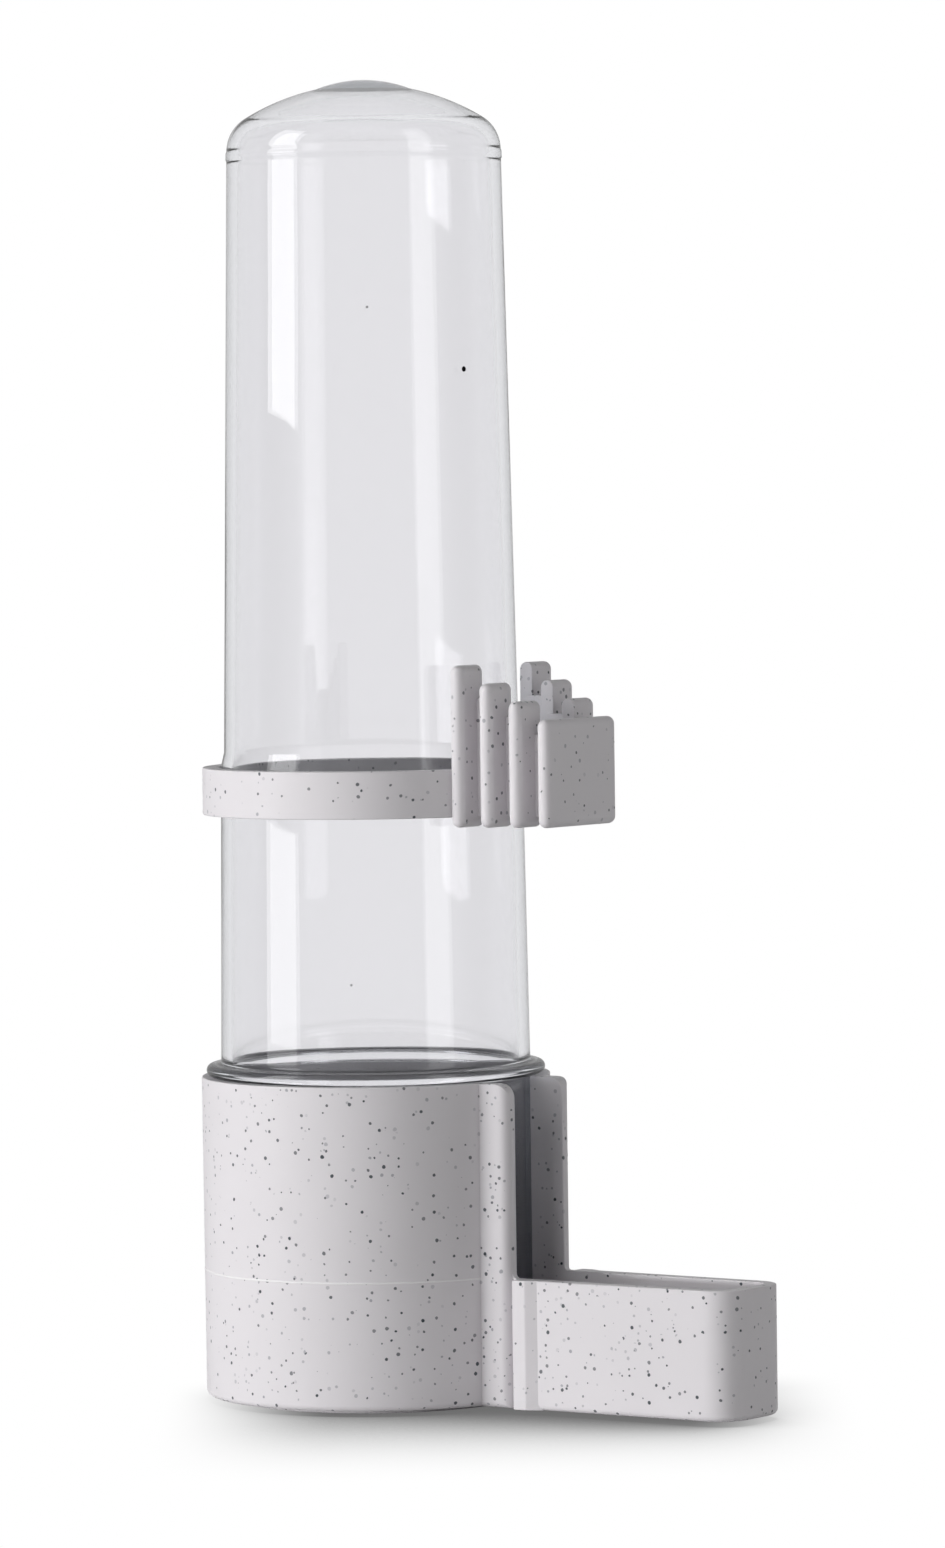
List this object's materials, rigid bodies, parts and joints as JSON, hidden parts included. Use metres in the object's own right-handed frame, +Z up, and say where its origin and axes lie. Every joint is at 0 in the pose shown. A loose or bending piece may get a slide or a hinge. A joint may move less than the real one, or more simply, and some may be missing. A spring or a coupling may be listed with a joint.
{
  "type": "bird waterer",
  "caption": "Clip-on bird waterer: clear upside-down reservoir tube in a speckled cup with a drinking trough, held to cage wires by a comb clip round the tube.",
  "frame": {"origin": "centre of the foot under the cup, on the tube's axis", "axes": "+Z up the tube's axis from the surface that the waterer stands on, +X along the drinking trough, +Y completes the right-handed frame"},
  "size_m": [0.0766, 0.0424, 0.16],
  "materials": {
    "speckled_plastic": "light grey moulded plastic with fine dark blue-grey specks, satin",
    "clear_plastic": "clear moulded plastic with a faint blue tint, polished"
  },
  "bodies": {
    "base": {"drinker_base": "speckled_plastic"},
    "reservoir": {"reservoir_tube": "clear_plastic"},
    "clip": {"cage_clip": "speckled_plastic"}
  },
  "joints": [
    {"name": "tube_lift", "type": "slide", "parent": "base", "child": "reservoir", "axis": [0, 0, 1], "range_m": [0, 0.03]},
    {"name": "clip_slide", "type": "slide", "parent": "reservoir", "child": "clip", "axis": [0, 0, 1], "range_m": [0, 0.09]}
  ]
}
